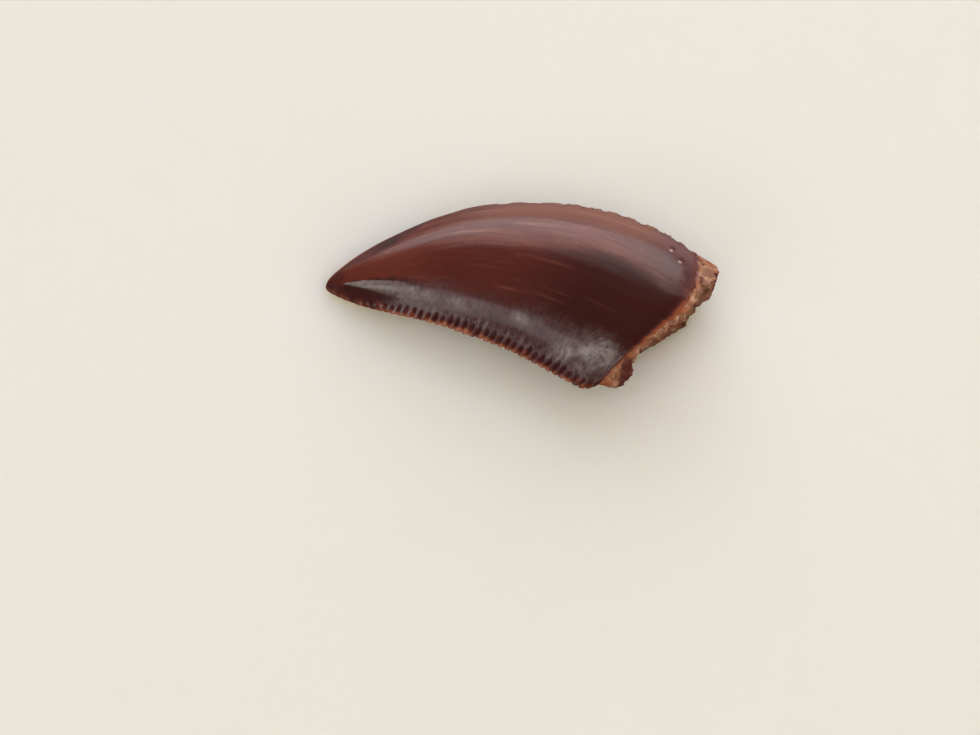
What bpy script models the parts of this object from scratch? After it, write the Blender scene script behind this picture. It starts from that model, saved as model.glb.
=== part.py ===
"""A fossil tooth of an abelisaurid, a meat-eating dinosaur, as one solid.

Run it with: blender --background --python part.py
The tooth lies on its flatter, inner side, as it would on a table. +X runs from the point to the
broken root end, +Y to the curved front edge and -Y to the serrated back edge, and Z is up. The
origin is under the middle of the tooth, on the surface that it lies on.
It is modelled as a loft: a round of points goes from the back edge over the outer face to the
front edge and back under the inner face, and the rounds follow each other from the broken end to
the point. A sphere primitive gives the rounds, and each of its points is moved to its place.
"""

import math

import bmesh
import bpy
import numpy as np
from mathutils import Vector, noise

MM = 0.001  # the sizes below are in millimetres, and the solid is made in metres

# The two edges of the enamel, seen from above, each from the broken end to the point.
FRONT_EDGE = [
    (9.90, 2.06), (8.17, 3.23), (6.48, 4.03), (4.77, 4.61), (2.96, 4.96), (0.80, 5.09),
    (-1.40, 5.03), (-3.20, 4.76), (-5.00, 4.22), (-6.90, 3.46), (-8.50, 2.69),
    (-9.60, 2.00), (-10.25, 1.50), (-10.58, 1.12), (-10.70, 0.76),
]
BACK_EDGE = [
    (4.30, -5.42), (3.66, -5.72), (2.95, -5.50), (2.00, -4.98), (0.60, -4.19), (-0.90, -3.41),
    (-2.60, -2.73), (-4.60, -1.95), (-6.80, -1.22), (-8.60, -0.58), (-9.90, 0.00),
    (-10.45, 0.33), (-10.66, 0.55), (-10.70, 0.76),
]

# How far the faces swell out of the plane of the two edges, as a share of the width there.
OUTER_SWELL, OUTER_SWELL_AT_POINT = 0.25, 0.31
INNER_SWELL, INNER_SWELL_AT_POINT = 0.20, 0.25
OUTER_FULLNESS, INNER_FULLNESS = 2.2, 2.9  # 2 is a parabola, and more is flatter in the middle
OUTER_SKEW, INNER_SKEW = 1.16, 1.30  # above 1 moves the thickest place towards the front edge
EDGE_ROUND = 0.07  # radius of both edges
HOLLOW_DEPTH = 0.10  # the shallow hollow beside the serrated edge
HOLLOW_PLACE, HOLLOW_SPREAD = 0.12, 0.055  # in shares of the width

# How the tooth lies: its inner side is arched lengthwise, so it rests on its base and its point.
ARCH = 0.30
POINT_DROP = 0.10
POINT_CORE = 0.16  # height of the rounded point's middle
RESTING_FLAT = 0.05  # thickness worn off where it rests

# Serrations: rounded chisels along the back edge, with narrow slits between them.
DENTICLES = 37
PITCH = 0.415
FIRST_SLIT = 0.42  # from the broken end of the back edge
SLIT_LENGTH = 0.72
SLIT_HALF_WIDTH = 0.11  # as a share of the pitch
SLIT_DEPTH = 0.75  # share of the edge's thickness that a slit takes
EDGE_NOTCH = 0.11  # how far a slit cuts the edge back
FADE_TO_POINT = 4.0  # the serrations shrink over this length near the point

# Wear along the front edge: (distance from the broken end, half its length, depth).
WEAR = [
    (14.45, 0.95, 0.04), (11.35, 0.45, 0.07), (9.65, 0.65, 0.06), (8.05, 0.28, 0.05),
    (6.75, 0.30, 0.06), (5.75, 0.24, 0.08), (4.70, 0.26, 0.06), (3.60, 0.32, 0.10),
    (2.45, 0.24, 0.07), (1.50, 0.26, 0.08), (0.62, 0.30, 0.09),
]
WEAR_WIDTH = 0.45  # how far the wear reaches in from the edge

# The enamel ends in a bow that bulges towards the root, most of it nearer the front edge.
OUTER_BOW, OUTER_BOW_SKEW = 1.46, 1.40
INNER_BOW, INNER_BOW_SKEW = 1.15, 1.90
BOW_REACH = 0.62  # share of the tooth's length in which the bow fades

# The dentine left beyond the enamel: (share of the width from the back edge, how far it sticks out).
STUMP = [
    (0.00, 1.17), (0.10, 0.98), (0.16, 0.74), (0.22, 0.55), (0.27, 0.22), (0.31, 0.04),
    (0.42, 0.02), (0.50, 0.08), (0.56, 0.08), (0.60, 0.27), (0.65, 0.18), (0.73, 0.32),
    (0.80, 0.22), (0.83, 0.48), (0.90, 0.86), (0.94, 1.12), (1.00, 1.18),
]
BACK_LEAN, BACK_LEAN_REACH = 0.57, 0.3  # the stump at the back edge leans towards the front
ENAMEL = 0.06  # thickness of the enamel that is gone from the dentine
STUMP_BLUNTNESS = 0.30  # half the height of the stump's edge at its broken side
CRUMB, CRUMB_SIZE = 0.24, 0.9  # height and size of the crags of the break
PULP_HOLLOW = 0.40
PULP_PLACE = 0.55  # share of the width where the hollow is deepest

# How finely the solid is made.
ROWS_IN_A_DENTICLE = (0.0, 0.3, 0.7)
POINT_ROWS = 5
ROOT_ROWS = 2
STUMP_ROWS = (0.02, 0.5, 1.0)
BREAK_ROWS = (0.88, 0.74, 0.56, 0.36, 0.16)
COLUMNS = 36  # a multiple of 4, because the sphere starts its columns a quarter turn round

MAHOGANY = (0.075, 0.022, 0.017, 1.0)


def clear_scene():
    for thing in list(bpy.data.objects):
        bpy.data.objects.remove(thing)


def distances(points):
    """How far along their line each of the points is."""
    return np.concatenate([[0.0], np.cumsum(np.linalg.norm(np.diff(points, axis=0), axis=1))])


def smooth_line(outline, spacing=0.02):
    """Close points along the natural cubic spline through an outline, and their distances."""
    points = np.array(outline)
    knots = distances(points)
    gaps = np.diff(knots)
    slopes = np.diff(points, axis=0) / gaps[:, None]
    system, turn = np.eye(len(points)), np.zeros_like(points)
    for i in range(1, len(points) - 1):
        system[i, i - 1 : i + 2] = gaps[i - 1], 2 * (gaps[i - 1] + gaps[i]), gaps[i]
        turn[i] = 6 * (slopes[i] - slopes[i - 1])
    bend = np.linalg.solve(system, turn)
    along = np.arange(0, knots[-1], spacing)
    i = np.clip(np.searchsorted(knots, along, side="right") - 1, 0, len(gaps) - 1)
    gap, before, after = gaps[i, None], (along - knots[i])[:, None], (knots[i + 1] - along)[:, None]
    line = (bend[i] * after**3 + bend[i + 1] * before**3) / (6 * gap)
    line += (points[i] / gap - bend[i] * gap / 6) * after
    line += (points[i + 1] / gap - bend[i + 1] * gap / 6) * before
    line = np.vstack([line, points[-1]])
    return line, distances(line)


def at(line, place):
    """The point of a smooth line at a share of its length."""
    points, along = line
    return np.stack([np.interp(place * along[-1], along, points[:, k]) for k in (0, 1)], axis=-1)


def step(low, high, value):
    """0 on low's side, 1 on high's side, and a smooth rise between them."""
    share = np.clip((value - low) / (high - low), 0, 1)
    return share * share * (3 - 2 * share)


def lumps(points, size, octaves):
    """Smooth noise from about -1 to 1 at each point."""
    flat = points.reshape(-1, points.shape[-1]) / size
    values = [noise.fractal(Vector(p), 1.0, 2.0, octaves) for p in flat]
    return np.array(values).reshape(points.shape[:-1])


def crown_rows(back_length):
    """Places along the tooth, 0 at the broken end and 1 at the point, one for each round."""
    root = np.linspace(0, FIRST_SLIT, ROOT_ROWS, endpoint=False)
    slits = FIRST_SLIT + PITCH * np.arange(DENTICLES)
    serrated = (slits[:, None] + PITCH * np.array(ROWS_IN_A_DENTICLE)).ravel()
    last = slits[-1] + PITCH
    point = last + (back_length - last) * (1 - np.linspace(1, 0, POINT_ROWS, endpoint=False) ** 1.6)
    return np.concatenate([root, serrated, point]) / back_length


def width_share(turn):
    """Share of the width from the back edge, closer together at both edges."""
    folded = np.where(turn > math.pi, 2 * math.pi - turn, turn)
    return 0.75 * (1 - np.cos(folded)) / 2 + 0.25 * folded / math.pi


def side_of(turn):
    """1 on the outer face, -1 on the inner face and 0 on the two edges."""
    return np.sign(np.round(np.sin(turn), 9))


def swell(across, skew, fullness):
    """Height of a face over the plane of the edges: 0 at both edges and 1 at its thickest."""
    return 1 - np.abs(2 * across**skew - 1) ** fullness


def slit_shape(along, back_length):
    """1 in the middle of each slit, 0 on the denticles, and how big the serrations are there."""
    distance = along * back_length - FIRST_SLIT
    phase = np.mod(distance / PITCH + 0.5, 1) - 0.5
    inside = step(-0.5, 0, distance / PITCH) * step(-0.5, 0, DENTICLES - distance / PITCH)
    to_point = np.clip((DENTICLES * PITCH - distance) / FADE_TO_POINT, 0, 1)
    return inside * np.exp(-((phase / SLIT_HALF_WIDTH) ** 2)), 0.3 + 0.7 * to_point


def wear_depth(distance):
    """How far the front edge is worn back at a distance from the broken end."""
    worn = np.zeros_like(distance)
    for middle, half, depth in WEAR:
        worn += depth * np.clip(1 - ((distance - middle) / half) ** 2, 0, 1)
    return worn


def bow(across, side):
    """How far the enamel's end bulges rootward, from side 1, the outer face, to -1, the inner."""
    outer = OUTER_BOW * np.sin(math.pi * across**OUTER_BOW_SKEW)
    inner = INNER_BOW * np.sin(math.pi * across**INNER_BOW_SKEW)
    return (outer + inner) / 2 + side * (outer - inner) / 2


def crown(along, turn):
    """Points of the enamel crown. along runs from 0 at the broken end to 1 at the point, and turn
    goes once round the tooth: 0 on the back edge, pi on the front edge, the outer face between."""
    front_line, back_line = smooth_line(FRONT_EDGE), smooth_line(BACK_EDGE)
    front_length, back_length = front_line[1][-1], back_line[1][-1]
    along, turn = np.broadcast_arrays(along[:, None], turn[None, :])
    across, side = width_share(turn), side_of(turn)
    outer = side > 0

    back, front = at(back_line, along), at(front_line, along)
    chord = front - back
    width = np.linalg.norm(chord, axis=-1)
    direction = chord / np.maximum(width, 1e-9)[..., None]
    rootward = np.stack([direction[..., 1], -direction[..., 0]], axis=-1)

    fullness = np.where(outer, OUTER_FULLNESS, INNER_FULLNESS)
    shape = swell(across, np.where(outer, OUTER_SKEW, INNER_SKEW), fullness)
    hollow = np.exp(-(((across - HOLLOW_PLACE) / HOLLOW_SPREAD) ** 2))
    outer_share = OUTER_SWELL + (OUTER_SWELL_AT_POINT - OUTER_SWELL) * along**2
    inner_share = INNER_SWELL + (INNER_SWELL_AT_POINT - INNER_SWELL) * along**2
    height = width * np.where(outer, outer_share, inner_share) * shape
    height = height - HOLLOW_DEPTH * hollow * np.minimum(1, width / 6) * step(0, 0.2, 1 - along)
    height = np.sqrt(np.maximum(height, 0) ** 2 + 2 * EDGE_ROUND * np.maximum(height, 0))

    slit, size = slit_shape(along, back_length)
    from_back = across * width
    reach = step(SLIT_LENGTH, 0.45 * SLIT_LENGTH, from_back / size)
    height = height * (1 - SLIT_DEPTH * slit * reach)
    inward = EDGE_NOTCH * slit * size * reach
    worn = wear_depth(along * front_length) * step(WEAR_WIDTH, 0, width - from_back)

    bulge = bow(across, side) * (1 - step(0, BOW_REACH, along))
    plan = back + chord * across[..., None] + rootward * bulge[..., None]
    plan = plan + direction * (inward - worn)[..., None]
    middle = np.hypot(width * inner_share, POINT_CORE)
    middle = middle + ARCH * np.sin(math.pi * along) ** 2 - POINT_DROP * along**4
    return np.concatenate([plan, (middle + side * height)[..., None]], axis=-1)


def stump(rim, turn):
    """Rounds of points from the enamel's rim over the bare dentine and the break to its middle."""
    across, side = width_share(turn), side_of(turn)
    back, chord = rim[0], rim[len(turn) // 2] - rim[0]
    direction = chord / np.linalg.norm(chord)
    rootward = np.array([direction[1], -direction[0], 0.0])
    up = np.array([0.0, 0.0, 1.0])
    height = np.abs(rim[:, 2] - back[2]) - ENAMEL

    def place(share_across, bulge, out, level):
        lean = BACK_LEAN * (1 - step(0, BACK_LEAN_REACH, share_across)) * out
        return (
            back
            + chord * share_across[:, None]
            + rootward * (bulge + out)[:, None]
            + direction * lean[:, None]
            + up * level[:, None]
        )

    def cragged(points, share):
        crags = CRUMB * share * np.abs(lumps(points, CRUMB_SIZE, 3))
        return points + rootward * crags[:, None]

    rounds = []
    sticks_out = np.interp(across, *np.transpose(STUMP))
    for share in STUMP_ROWS:
        edge_height = side * np.hypot(height, STUMP_BLUNTNESS * share)
        points = place(across, bow(across, side), share * sticks_out, edge_height)
        rounds.append(cragged(points, share))
    for share in BREAK_ROWS:
        here = PULP_PLACE + share * (across - PULP_PLACE)
        out = np.interp(here, *np.transpose(STUMP)) - PULP_HOLLOW * (1 - step(0, 0.75, share))
        points = place(here, bow(here, share * side), out, share * edge_height)
        rounds.append(cragged(points, 1.0))
    return rounds[::-1], rounds[-1].mean(axis=0)


def tooth_points():
    """The two end points of the tooth and its rounds of points, from the break to the point."""
    turn = np.arange(COLUMNS) * 2 * math.pi / COLUMNS
    back_length = smooth_line(BACK_EDGE)[1][-1]
    enamel = crown(crown_rows(back_length), turn)
    stump_rounds, break_middle = stump(enamel[0], turn)
    rounds = np.concatenate([stump_rounds, enamel])
    point = np.array([*FRONT_EDGE[-1], enamel[-1, :, 2].mean()])
    for points in (rounds, break_middle, point):
        points[..., 2] = np.maximum(points[..., 2] - RESTING_FLAT, 0)
    low, high = rounds.min(axis=(0, 1)), rounds.max(axis=(0, 1))
    low, high = np.minimum(low, point), np.maximum(high, point)
    middle = np.array([(low[0] + high[0]) / 2, (low[1] + high[1]) / 2, 0])
    return break_middle - middle, rounds - middle, point - middle


def make_tooth():
    """The solid: a sphere whose poles are the middle of the break and the point of the tooth."""
    break_middle, rounds, point = tooth_points()
    shape = bmesh.new()
    bmesh.ops.create_uvsphere(shape, u_segments=COLUMNS, v_segments=len(rounds) + 1, radius=1.0)
    for vertex in shape.verts:
        round_number = round(math.acos(max(-1, min(1, vertex.co.z))) / math.pi * (len(rounds) + 1))
        if round_number == 0:
            place = break_middle
        elif round_number == len(rounds) + 1:
            place = point
        else:
            turned = math.atan2(vertex.co.y, vertex.co.x) / (2 * math.pi) * COLUMNS
            place = rounds[round_number - 1][round(-turned) % COLUMNS]
        vertex.co = Vector(place) * MM
    mesh = bpy.data.meshes.new("tooth")
    shape.to_mesh(mesh)
    shape.free()
    mesh.shade_smooth()
    mesh.set_sharp_from_angle(angle=math.radians(40))
    return mesh


def enamel_material():
    material = bpy.data.materials.new("fossil_enamel")
    material.use_nodes = True
    surface = material.node_tree.nodes["Principled BSDF"]
    surface.inputs["Base Color"].default_value = MAHOGANY
    surface.inputs["Roughness"].default_value = 0.3
    surface.inputs["Metallic"].default_value = 0.0
    return material


def build():
    clear_scene()
    collection = bpy.data.collections.new("fossil_tooth")
    bpy.context.scene.collection.children.link(collection)
    mesh = make_tooth()
    mesh.materials.append(enamel_material())
    collection.objects.link(bpy.data.objects.new("tooth", mesh))


build()
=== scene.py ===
import math

import bmesh
import bpy
import numpy as np
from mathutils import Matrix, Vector, noise


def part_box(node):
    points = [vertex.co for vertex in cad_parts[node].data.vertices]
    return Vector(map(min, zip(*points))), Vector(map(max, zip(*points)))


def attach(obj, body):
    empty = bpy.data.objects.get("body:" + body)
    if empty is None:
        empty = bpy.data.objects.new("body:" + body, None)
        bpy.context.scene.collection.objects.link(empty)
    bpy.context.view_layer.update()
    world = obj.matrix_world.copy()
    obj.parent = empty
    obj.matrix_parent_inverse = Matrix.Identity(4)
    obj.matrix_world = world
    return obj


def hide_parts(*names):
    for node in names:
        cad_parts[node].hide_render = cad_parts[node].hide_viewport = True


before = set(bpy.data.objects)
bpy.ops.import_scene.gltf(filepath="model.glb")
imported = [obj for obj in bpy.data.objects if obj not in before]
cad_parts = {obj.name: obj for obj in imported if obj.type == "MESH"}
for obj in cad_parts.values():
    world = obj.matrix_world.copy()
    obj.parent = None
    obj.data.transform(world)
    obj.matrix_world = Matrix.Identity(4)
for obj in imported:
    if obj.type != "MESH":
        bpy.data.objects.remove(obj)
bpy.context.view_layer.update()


# The crown is a curved, flattened blade of fossil enamel that lies on its flatter inner side.
# It grew in one piece, so it is one mesh: rounds of points run from the broken end to the point,
# each from the serrated back edge over the outer face to the front edge and back underneath.
MM = 0.001  # the sizes below are in millimetres, and the mesh is made in metres
FRONT_EDGE = [
    (9.90, 2.06), (8.17, 3.23), (6.48, 4.03), (4.77, 4.61), (2.96, 4.96), (0.80, 5.09),
    (-1.40, 5.03), (-3.20, 4.76), (-5.00, 4.22), (-6.90, 3.46), (-8.50, 2.69),
    (-9.60, 2.00), (-10.23, 1.52), (-10.54, 1.19), (-10.68, 0.86),
]
BACK_EDGE = [
    (4.30, -5.42), (3.66, -5.72), (2.95, -5.50), (2.00, -4.98), (0.60, -4.19), (-0.90, -3.41),
    (-2.60, -2.73), (-4.60, -1.95), (-6.80, -1.22), (-8.60, -0.58), (-9.85, 0.07),
    (-10.38, 0.42), (-10.62, 0.67), (-10.68, 0.86),
]
COLUMNS = 220  # a multiple of 4, because the sphere starts its columns a quarter turn round


def distances(points):
    """How far along their line each of the points is."""
    return np.concatenate([[0.0], np.cumsum(np.linalg.norm(np.diff(points, axis=0), axis=1))])


def smooth_line(outline, spacing=0.01):
    """Close points along the natural cubic spline through an outline, and their distances."""
    points = np.array(outline)
    knots = distances(points)
    gaps = np.diff(knots)
    slopes = np.diff(points, axis=0) / gaps[:, None]
    system, turn = np.eye(len(points)), np.zeros_like(points)
    for i in range(1, len(points) - 1):
        system[i, i - 1 : i + 2] = gaps[i - 1], 2 * (gaps[i - 1] + gaps[i]), gaps[i]
        turn[i] = 6 * (slopes[i] - slopes[i - 1])
    bend = np.linalg.solve(system, turn)
    along = np.arange(0, knots[-1], spacing)
    i = np.clip(np.searchsorted(knots, along, side="right") - 1, 0, len(gaps) - 1)
    gap, before, after = gaps[i, None], (along - knots[i])[:, None], (knots[i + 1] - along)[:, None]
    line = (bend[i] * after**3 + bend[i + 1] * before**3) / (6 * gap)
    line += (points[i] / gap - bend[i] * gap / 6) * after
    line += (points[i + 1] / gap - bend[i + 1] * gap / 6) * before
    line = np.vstack([line, points[-1]])
    return line, distances(line)


def at(line, share):
    """The point of a smooth line at a share of its length."""
    points, place = line
    return np.stack([np.interp(share * place[-1], place, points[:, k]) for k in (0, 1)], axis=-1)


def step(low, high, value):
    """0 on low's side, 1 on high's side, and a smooth rise between them."""
    share = np.clip((value - low) / (high - low), 0, 1)
    return share * share * (3 - 2 * share)


def lumps(points, size, octaves=3):
    """Smooth noise from about -1 to 1 at each point."""
    flat = (points / size).reshape(-1, 3)
    values = [noise.fractal(Vector(p), 1.0, 2.0, octaves) for p in flat]
    return np.array(values).reshape(points.shape[:-1])


front_line, back_line = smooth_line(FRONT_EDGE), smooth_line(BACK_EDGE)
front_length, back_length = front_line[1][-1], back_line[1][-1]


# The back edge has 37 serrations: low chisels with narrow slits between them, which run a short
# way up both faces along the growth of the enamel. They are smaller near the point, and a long
# time in the ground has worn each a little differently.
DENTICLES = 37
PITCH = 0.415
FIRST_SLIT = 0.42  # from the broken end of the back edge
UNEVENNESS = 0.05  # how far a slit may be out of its place, as a share of the pitch
SLIT_STRENGTHS = (0.72, 1.0)
SLIT_LENGTH, SLIT_LENGTHS = 0.70, (0.82, 1.12)
FULL_DEPTH = 0.4  # share of its length that a slit has its full depth for
SHADED_LENGTH, FULLY_SHADED = 0.78, 0.35  # shares of its length that a slit's painted shade covers
SLIT_HALF_WIDTH = 0.125  # as a share of the pitch
SLIT_SHARPNESS = 0.8  # the rest of a slit is a wide, shallow wave
SLIT_LEAN, LEAN_REACH = 0.30, 1.2  # the slits lean rootward as they run up the face
SLIT_DEPTH = 0.78  # share of the edge's thickness that a slit takes
WORN_SLITS, WORN_FROM, WORN_TO = 0.35, 0.52, 0.84  # strength near the point, shares of the length
EDGE_NOTCH = 0.08  # how far a slit cuts the edge back
CORNER_WEAR, CORNER_REACH = 0.03, 0.35  # how far a chisel's corners are worn back, and how far in
TIP_WEAR, TIP_REACH = 0.05, 0.3  # the same for the whole tip of a chisel
SMALLEST, FADE_TO_POINT = 0.3, 7.0  # size of the last serrations, and where they start to shrink
CROWDING = 0.75  # how much closer together the columns of points are at both edges
ROWS_IN_A_DENTICLE = np.array([0.0, 0.06, 0.13, 0.24, 0.40, 0.60, 0.76, 0.87, 0.94])
ROOT_ROWS = 6
POINT_ROWS, POINT_CROWDING = 24, 1.6

draws = np.random.default_rng(11)
out_of_place = draws.uniform(-UNEVENNESS, UNEVENNESS, DENTICLES + 1)
slits = FIRST_SLIT + PITCH * (np.arange(DENTICLES + 1) + out_of_place)
slit_strength = draws.uniform(*SLIT_STRENGTHS, DENTICLES + 1)
slit_length = SLIT_LENGTH * draws.uniform(*SLIT_LENGTHS, DENTICLES + 1)
tip_wear = TIP_WEAR * draws.uniform(0, 1, DENTICLES + 1) ** 2

root_rows = np.linspace(0, slits[0], ROOT_ROWS, endpoint=False)
serrated_rows = (slits[:-1, None] + np.diff(slits)[:, None] * ROWS_IN_A_DENTICLE).ravel()
left_to_point = np.linspace(1, 0, POINT_ROWS, endpoint=False) ** POINT_CROWDING
point_rows = slits[-1] + (back_length - slits[-1]) * (1 - left_to_point)
rows = np.concatenate([root_rows, serrated_rows, point_rows]) / back_length
along, turn = np.meshgrid(rows, np.arange(COLUMNS) * 2 * math.pi / COLUMNS, indexing="ij")


def width_share(turned):
    """Share of the width from the back edge, closer together at both edges."""
    folded = np.where(turned > math.pi, 2 * math.pi - turned, turned)
    return CROWDING * (1 - np.cos(folded)) / 2 + (1 - CROWDING) * folded / math.pi


def side_of(turned):
    """1 on the outer face, -1 on the inner face and 0 on the two edges."""
    return np.sign(np.round(np.sin(turned), 9))


across, side = width_share(turn), side_of(turn)
outer = side > 0
back, front = at(back_line, along), at(front_line, along)
chord = front - back
width = np.linalg.norm(chord, axis=-1)
direction = chord / np.maximum(width, 1e-9)[..., None]
rootward = np.stack([direction[..., 1], -direction[..., 0]], axis=-1)
from_back = across * width
from_front = width - from_back

distance = along * back_length
count = np.interp(distance, slits, np.arange(DENTICLES + 1))
count += np.minimum(distance - slits[0], 0) / PITCH + np.maximum(distance - slits[-1], 0) / PITCH
nearest = np.clip(np.round(count), 0, DENTICLES).astype(int)
denticle = np.clip(np.floor(count), 0, DENTICLES).astype(int)
serrated = step(-0.5, 0, count) * step(-0.5, 0, DENTICLES - count)
to_last = DENTICLES * PITCH + FIRST_SLIT - distance
size = SMALLEST + (1 - SMALLEST) * np.clip(to_last / FADE_TO_POINT, 0, 1)
narrow = np.exp(-(((count - nearest) / SLIT_HALF_WIDTH) ** 2))
rounded = (1 + np.cos(2 * math.pi * count)) / 2
rounded_rib = 1 - rounded
slit = SLIT_SHARPNESS * narrow + (1 - SLIT_SHARPNESS) * rounded
slit *= serrated * slit_strength[nearest]
slit *= WORN_SLITS + (1 - WORN_SLITS) * step(WORN_TO, WORN_FROM, along)
up_the_face = from_back / size
up_the_slit = up_the_face / slit_length[nearest]
slit_reach = step(1, FULL_DEPTH, up_the_slit)
slit_shade_mask = slit * step(SHADED_LENGTH, FULLY_SHADED, up_the_slit)
corner = serrated * np.abs(2 * (count - np.floor(count)) - 1) ** 3
corner *= step(CORNER_REACH, 0, up_the_face)
blunt = serrated * tip_wear[denticle] * step(TIP_REACH, 0, up_the_face)
notch = (EDGE_NOTCH * slit * slit_reach + CORNER_WEAR * corner + blunt) * size


# The front edge has lost its serrations to wear. Shallow scallops and a row of worn bumps are
# left, with small chips nearer the root, and two flat facets where the enamel was rubbed off.
WEAR = [  # distance from the broken end, half its length, depth
    (14.45, 0.95, 0.04), (11.35, 0.45, 0.07), (9.65, 0.65, 0.06), (8.05, 0.28, 0.05),
    (6.75, 0.30, 0.06), (5.75, 0.24, 0.08), (4.70, 0.26, 0.06), (3.60, 0.32, 0.10),
    (2.45, 0.24, 0.07), (1.50, 0.26, 0.08), (0.62, 0.30, 0.09),
]
WEAR_WIDTH = 0.45  # how far the wear reaches in from the edge
BUMP_PITCH, BUMP_HEIGHT = 0.46, 0.014
BUMPS_START, BUMPS_END = (5.6, 6.2), (10.6, 9.0)  # distances from the broken end
CHIP_SIZE, CHIP_DEPTH = 0.24, 0.12
CHIPS_END = (8.6, 6.0)  # distances from the broken end
CHIP_REACH = (0.36, 0.10)  # how far the chips go in from the edge
CHIP_WAVER, CHIP_WAVER_SIZE = 0.12, 0.7
CHIP_STRETCH, CHIP_SHIFT = 1.5, 0.8  # chips are longer along the edge, and differ between faces
CHIP_SOFTNESS = 0.35
FACETS = [  # where each facet's inner border is: (share of the length, share of the width)
    [(0.700, 0.98), (0.721, 0.84), (0.760, 0.765), (0.800, 0.73), (0.844, 0.70), (0.92, 0.72),
     (0.97, 0.95)],
    [(0.44, 0.99), (0.463, 0.94), (0.507, 0.905), (0.555, 0.885), (0.605, 0.88), (0.64, 0.97)],
]
FACET_SHARE = 0.6  # how much of the swell a facet takes off
FACET_BLUR = 0.06  # share of the width over which its border fades
FACET_SHADE_STRENGTHS = (1.0, 0.3)
SHADE_DARKEST, SHADE_REACH = 0.79, 0.05  # shares of the length: where the painted shade on the facet at the point is darkest
SHADE_LEAST = 0.45  # strength of that facet's painted shade away from its darkest place

front_distance = along * front_length
worn = np.zeros_like(along)
for middle, half, depth in WEAR:
    worn += depth * np.clip(1 - ((front_distance - middle) / half) ** 2, 0, 1)
bumps = step(*BUMPS_START, front_distance) * step(*BUMPS_END, front_distance)
worn += BUMP_HEIGHT * bumps * (1 - np.cos(2 * math.pi * front_distance / BUMP_PITCH))
edge_places = np.stack([front_distance, from_front * CHIP_STRETCH, CHIP_SHIFT * side], axis=-1)
chips = step(0, CHIP_SOFTNESS, lumps(edge_places, CHIP_SIZE, 4)) * step(*CHIPS_END, front_distance)
chips *= step(*CHIP_REACH, from_front + CHIP_WAVER * lumps(edge_places, CHIP_WAVER_SIZE, 2))
worn = worn * step(WEAR_WIDTH, 0, from_front) + CHIP_DEPTH * chips
# The facets turn away from the light, so their colour carries painted shade, strongest at the
# point. The same mask makes them rougher.
facet_wear_and_shade = np.zeros_like(along)
for border, darkness in zip(FACETS, FACET_SHADE_STRENGTHS):
    places, shares = np.transpose(border)
    start = np.interp(along, places, shares, left=2, right=2)
    facet_wear_and_shade = np.maximum(facet_wear_and_shade, darkness * step(0, FACET_BLUR, across - start))
near_darkest = np.exp(-(((along - SHADE_DARKEST) / SHADE_REACH) ** 2))
on_point_facet = along > SHADE_DARKEST - 2 * SHADE_REACH
facet_wear_and_shade *= np.where(on_point_facet, SHADE_LEAST + (1 - SHADE_LEAST) * near_darkest, 1)


# The faces swell out of the plane of the two edges, the outer one more than the inner one. The
# inner side is arched lengthwise, so the tooth rests on a worn flat near the root and on its point.
OUTER_SWELL, OUTER_SWELL_AT_POINT = 0.25, 0.31
INNER_SWELL, INNER_SWELL_AT_POINT = 0.20, 0.25
OUTER_FULLNESS, INNER_FULLNESS = 2.2, 2.9  # 2 is a parabola, and more is flatter in the middle
OUTER_SKEW, INNER_SKEW = 1.16, 1.30  # above 1 moves the thickest place towards the front edge
EDGE_ROUND = 0.07
HOLLOW_DEPTH, HOLLOW_PLACE, HOLLOW_SPREAD = 0.10, 0.12, 0.055  # beside the serrations
HOLLOW_WIDTH = 6  # the hollow is shallower where the crown is narrower than this
HOLLOW_END = (0.75, 0.45)  # shares of the length
CREST_HEIGHT, CREST_PLACE, CREST_SPREAD = 0.045, 0.24, 0.10  # shares of the width, near the point
CREST_START, CREST_END = (0.62, 0.85), (1.0, 0.95)  # shares of the length
FACET_END = (0.985, 0.90)
ARCH, POINT_DROP, POINT_CORE, RESTING_FLAT = 0.30, 0.10, 0.16, 0.05
GROWTH_WAVES = 0.012  # height of the fine ridges that run along the enamel
GROWTH_SCALE = np.array([20, 10, 3])  # units of growth along the crown, across it and round it
WAVE_DENSITY = np.array([0.25, 1.6, 1.0])  # along the growth, across it and from face to face


def swell(share, skew, fullness):
    """Height of a face over the plane of the edges: 0 at both edges and 1 at its thickest."""
    return 1 - np.abs(2 * share**skew - 1) ** fullness


def swell_of(share):
    """The swell at a share of the width, for the face that each point is on."""
    skew = np.where(outer, OUTER_SKEW, INNER_SKEW)
    return swell(share, skew, np.where(outer, OUTER_FULLNESS, INNER_FULLNESS))


shape = swell_of(across)
for border in FACETS:
    places, shares = np.transpose(border)
    start = np.interp(along, places, shares, left=0.9999, right=0.9999)
    flat = swell_of(start) * (1 - across) / (1 - start)
    cut = np.where(outer & (across > start), FACET_SHARE, 0) * step(*FACET_END, along)
    shape = shape + cut * (np.minimum(flat, shape) - shape)
outer_share = OUTER_SWELL + (OUTER_SWELL_AT_POINT - OUTER_SWELL) * along**2
inner_share = INNER_SWELL + (INNER_SWELL_AT_POINT - INNER_SWELL) * along**2
height = width * np.where(outer, outer_share, inner_share) * shape
hollow = np.exp(-(((across - HOLLOW_PLACE) / HOLLOW_SPREAD) ** 2))
hollow = hollow * np.minimum(1, width / HOLLOW_WIDTH) * step(*HOLLOW_END, along)
height = height - HOLLOW_DEPTH * hollow
crest = np.exp(-(((across - CREST_PLACE) / CREST_SPREAD) ** 2)) * outer
crest = crest * step(*CREST_START, along) * step(*CREST_END, along)
height = height + CREST_HEIGHT * width * crest
height = np.sqrt(np.maximum(height, 0) ** 2 + 2 * EDGE_ROUND * np.maximum(height, 0))
height = height * (1 - SLIT_DEPTH * slit * slit_reach)
under = side * 4 * across * (1 - across)
growth = np.stack([along, across, under], axis=-1) * GROWTH_SCALE
waves = lumps(growth * WAVE_DENSITY, 1.0, 3)
height = height + GROWTH_WAVES * waves * np.minimum(1, height)

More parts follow.
